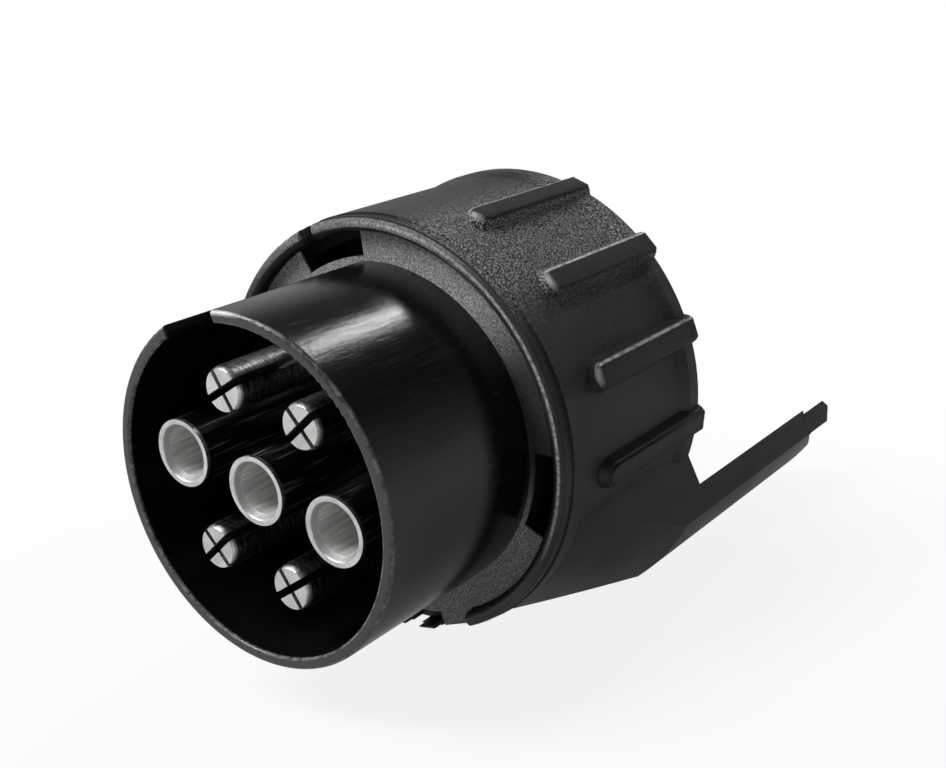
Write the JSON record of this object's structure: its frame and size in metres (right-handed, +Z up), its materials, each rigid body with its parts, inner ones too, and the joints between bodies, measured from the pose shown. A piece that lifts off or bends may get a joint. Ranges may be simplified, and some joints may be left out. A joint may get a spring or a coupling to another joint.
{
  "type": "trailer plug adapter",
  "caption": "Short straight adapter in black plastic that joins a vehicle's round trailer socket to a trailer's round plug, with grip ribs and a side arm.",
  "frame": {"origin": "centre of the plug's mouth, on the axis of its shell, in the plane of the shell's front edge", "axes": "+Y along the shell's axis, from the plug's mouth to the socket at the back; +Z up, with the part at rest on two of its grip ribs; the keyway is near +Z, turned 12.7 degrees from it towards -X"},
  "size_m": [0.0577, 0.0981, 0.0577],
  "materials": {
    "casing_plastic": "matte",
    "plug_plastic": "satin",
    "socket_plastic": "matte",
    "plated_brass": "satin",
    "seal_rubber": "matte",
    "yellow_sheath": "satin",
    "blue_sheath": "satin",
    "white_sheath": "satin",
    "green_sheath": "satin",
    "brown_sheath": "satin",
    "red_sheath": "satin",
    "black_sheath": "satin"
  },
  "bodies": {
    "root": {"casing": "casing_plastic", "plug_insert": "plug_plastic", "socket_insert": "socket_plastic", "socket_seal": "seal_rubber", "split_pin_1": "plated_brass", "split_pin_2": "plated_brass", "split_pin_3": "plated_brass", "split_pin_4": "plated_brass", "sleeve_contact_1": "plated_brass", "sleeve_contact_2": "plated_brass", "sleeve_contact_3": "plated_brass", "socket_contact_1": "plated_brass", "socket_contact_2": "plated_brass", "socket_contact_3": "plated_brass", "socket_contact_4": "plated_brass", "socket_contact_5": "plated_brass", "socket_contact_6": "plated_brass", "socket_contact_7": "plated_brass", "socket_contact_8": "plated_brass", "socket_contact_9": "plated_brass", "socket_contact_10": "plated_brass", "socket_contact_11": "plated_brass", "socket_contact_12": "plated_brass", "socket_contact_13": "plated_brass", "yellow_wire": "yellow_sheath", "blue_wire": "blue_sheath", "white_wire": "white_sheath", "green_wire": "green_sheath", "brown_wire": "brown_sheath", "red_wire": "red_sheath", "black_wire": "black_sheath"}
  },
  "joints": []
}
